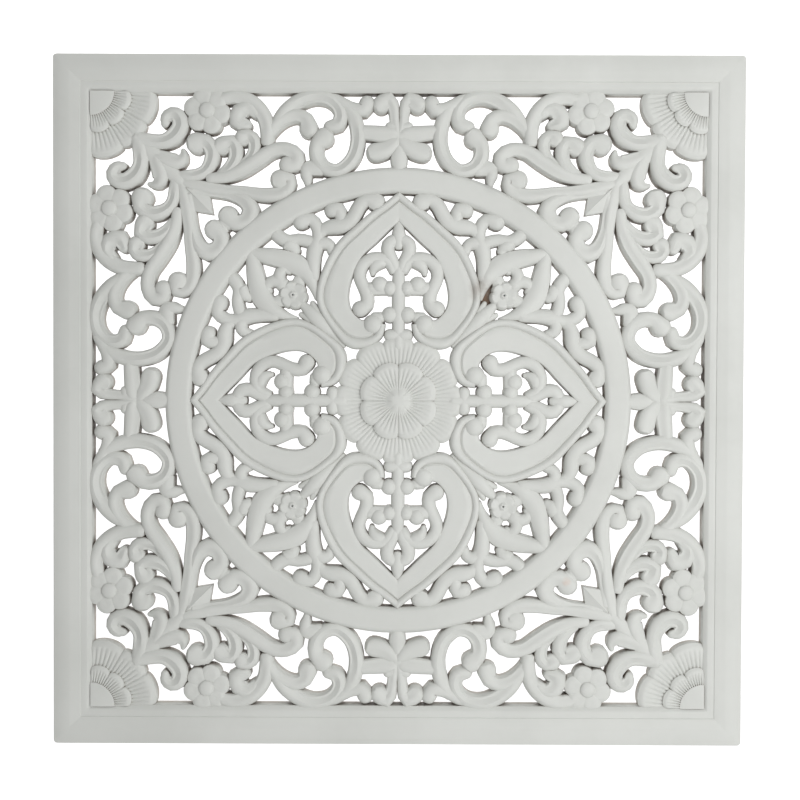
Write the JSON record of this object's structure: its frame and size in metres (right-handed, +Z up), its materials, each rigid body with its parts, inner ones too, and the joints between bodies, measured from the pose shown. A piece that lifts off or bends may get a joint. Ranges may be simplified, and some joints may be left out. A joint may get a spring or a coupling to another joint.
{
  "type": "carved openwork wall panel",
  "caption": "Square openwork wall panel of painted wood board: a moulded frame around a ring with hearts, leaf scrolls, flowers and a central rosette.",
  "frame": {"origin": "middle of the back of the top rail, where the panel hangs on the wall", "axes": "+Z up along the panel, +X to the right seen from the front, +Y into the wall; the carved face looks along -Y"},
  "size_m": [0.6, 0.02, 0.6],
  "materials": {
    "painted_wood": "matt white-grey paint on a carved wood-fibre board, brownish where it is thin in the deep cuts"
  },
  "bodies": {
    "root": {"carved_panel": "painted_wood"}
  },
  "joints": []
}
